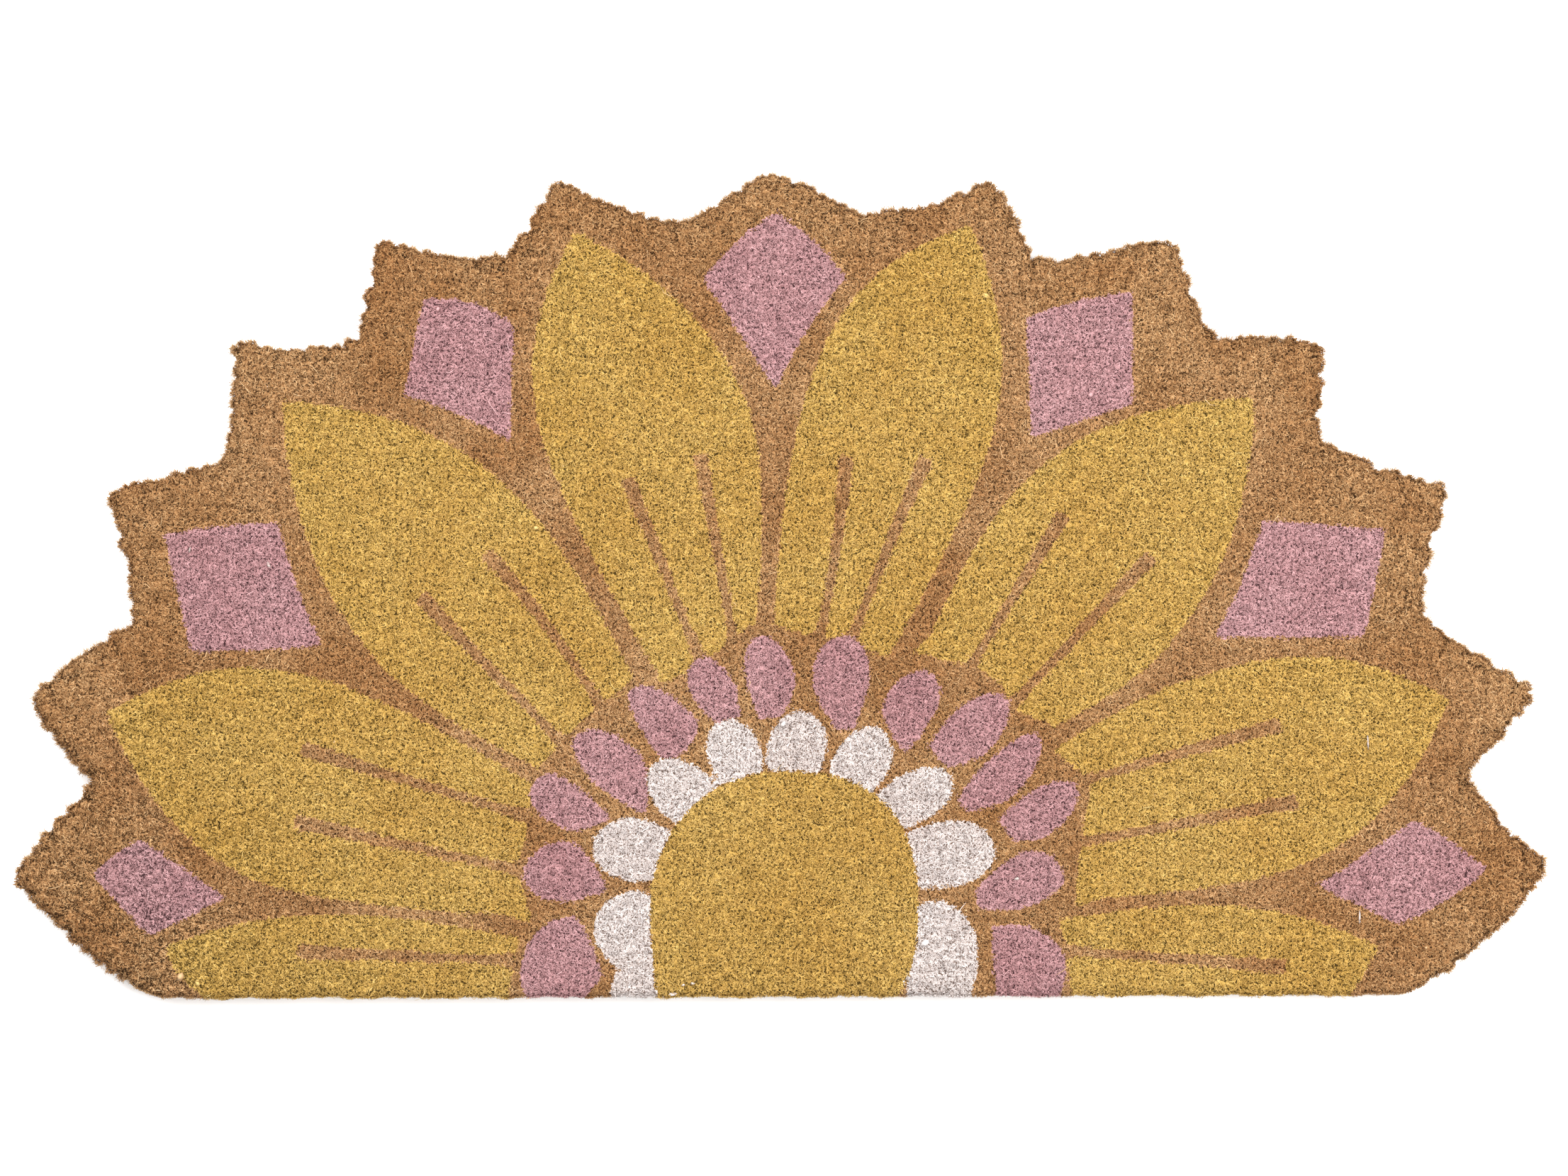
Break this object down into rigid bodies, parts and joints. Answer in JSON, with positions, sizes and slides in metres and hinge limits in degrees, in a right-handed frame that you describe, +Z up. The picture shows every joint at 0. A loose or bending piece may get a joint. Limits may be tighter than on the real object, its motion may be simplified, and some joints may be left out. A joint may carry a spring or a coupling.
{
  "type": "coir doormat",
  "caption": "Half-round coir doormat with a straight front edge, a die-cut pointed rim and a printed half-flower in mustard, pink and white on a thin vinyl backing.",
  "frame": {"origin": "under the middle of the mat's bounding box, on the surface that it lies on", "axes": "+X along the straight front edge, to the right; +Y from the straight edge towards the top point of the flower; +Z up out of the pile"},
  "size_m": [0.7486, 0.4044, 0.015],
  "materials": {
    "coir_natural": "undyed clipped coconut fibre, matt, tan with darker brown ends",
    "print_mustard": "mustard print colour on the fibre ends, matt",
    "print_pink": "dusty pink print colour on the fibre ends, matt",
    "print_white": "off-white print colour on the fibre ends, matt",
    "backing_vinyl": "dark soft vinyl with a fine pressed grain, matt"
  },
  "bodies": {
    "root": {"coir_mat": "coir_natural"}
  },
  "joints": []
}
